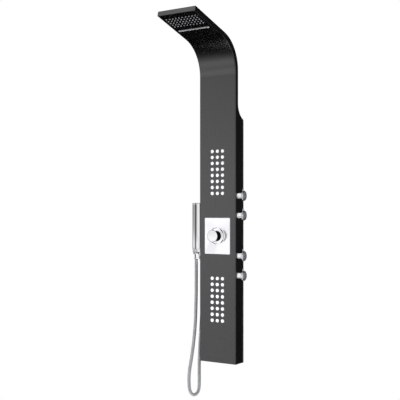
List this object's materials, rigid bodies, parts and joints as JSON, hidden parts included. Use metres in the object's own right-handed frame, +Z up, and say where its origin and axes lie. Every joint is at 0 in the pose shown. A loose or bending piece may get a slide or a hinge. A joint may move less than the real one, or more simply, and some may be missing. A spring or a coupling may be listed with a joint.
{
  "type": "rainfall shower column",
  "caption": "Wall-hung shower panel with a curved rain head, waterfall slot, body jets, lever mixer, side valve knobs and a stick hand shower on a hose.",
  "frame": {"origin": "centre of the four wall-screw holes, on the wall face of the brackets, level with the mixer's axis", "axes": "+Z up along the panel, +Y into the wall, +X to the user's right as they face the panel"},
  "size_m": [0.2691, 0.3665, 1.5683],
  "materials": {
    "panel_steel": "satin black brushed stainless steel",
    "cover_steel": "matt black powder-coated steel",
    "chrome": "polished chrome plating",
    "brass": "machined brass",
    "nozzle_rubber": "soft pale grey silicone",
    "seal_rubber": "black closed-cell rubber strip",
    "chamber_plastic": "moulded plastic",
    "cartridge_plastic": "moulded acetal",
    "tube_plastic": "extruded polyethylene tube",
    "bracket_steel": "zinc-plated steel",
    "hose_metal": "double-interlock chromed metal hose"
  },
  "bodies": {
    "root": {"front_panel": "panel_steel", "head_end_cap": "panel_steel", "upper_back_cover": "cover_steel", "bottom_plate": "cover_steel", "mixer_plate": "chrome", "mixer_collar": "chrome", "jet_bezels": "chrome", "waterfall_lip": "chrome", "handset_holder": "chrome", "outlet_elbow": "chrome", "hose_nut_lower": "chrome", "mixer_body": "brass", "mixer_clamp_nut": "brass", "cartridge_nut": "brass", "valve_manifold": "brass", "valve_bonnets": "brass", "valve_locknuts": "brass", "fitting_nuts": "brass", "mixed_water_pipe": "brass", "rain_nozzles": "nozzle_rubber", "jet_tips": "nozzle_rubber", "rain_chamber": "chamber_plastic", "waterfall_chamber": "chamber_plastic", "upper_jet_chamber": "chamber_plastic", "lower_jet_chamber": "chamber_plastic", "mixer_bonnet": "chamber_plastic", "edge_seals": "seal_rubber", "cartridge": "cartridge_plastic", "tube_clamps": "cartridge_plastic", "rain_tube": "tube_plastic", "waterfall_tube": "tube_plastic", "jet_tubes": "tube_plastic", "handset_feed_tube": "tube_plastic", "wall_brackets": "bracket_steel", "panel_hangers": "bracket_steel", "cover_screws": "bracket_steel", "hose": "hose_metal"},
    "valve_knob_1": {"knob_1": "chrome", "knob_pin_1": "chrome", "spindle_1": "brass"},
    "valve_knob_2": {"knob_2": "chrome", "knob_pin_2": "chrome", "spindle_2": "brass"},
    "valve_knob_3": {"knob_3": "chrome", "knob_pin_3": "chrome", "spindle_3": "brass"},
    "valve_knob_4": {"knob_4": "chrome", "knob_pin_4": "chrome", "spindle_4": "brass"},
    "mixer_swivel": {"cartridge_carrier": "cartridge_plastic", "lever_pin": "brass"},
    "mixer_grip": {"lever": "brass", "mixer_handle": "chrome", "handle_pin": "chrome", "handle_screw": "chrome"},
    "handset": {"handset_tube": "chrome", "handset_spray_face": "chamber_plastic", "handset_nozzles": "nozzle_rubber", "handset_collar": "chrome", "hose_nut_upper": "chrome"}
  },
  "joints": [
    {"name": "knob_1_turn", "type": "hinge", "parent": "root", "child": "valve_knob_1", "pos_m": [0.0875, -0.0425, 0.166], "axis": [1, 0, 0], "range_deg": [0, 90]},
    {"name": "knob_2_turn", "type": "hinge", "parent": "root", "child": "valve_knob_2", "pos_m": [0.0875, -0.0425, 0.085], "axis": [1, 0, 0], "range_deg": [0, 90]},
    {"name": "knob_3_turn", "type": "hinge", "parent": "root", "child": "valve_knob_3", "pos_m": [0.0875, -0.0425, -0.081], "axis": [1, 0, 0], "range_deg": [0, 90]},
    {"name": "knob_4_turn", "type": "hinge", "parent": "root", "child": "valve_knob_4", "pos_m": [0.0875, -0.0425, -0.162], "axis": [1, 0, 0], "range_deg": [0, 90]},
    {"name": "mixer_temperature", "type": "hinge", "parent": "root", "child": "mixer_swivel", "pos_m": [0, -0.076, 0], "axis": [0, -1, 0], "range_deg": [-45, 45]},
    {"name": "mixer_flow", "type": "hinge", "parent": "mixer_swivel", "child": "mixer_grip", "pos_m": [0, -0.076, 0], "axis": [1, 0, 0], "range_deg": [0, 20]},
    {"name": "handset_lift", "type": "slide", "parent": "root", "child": "handset", "axis": [0, 0, 1], "range_m": [0, 0.03]}
  ]
}
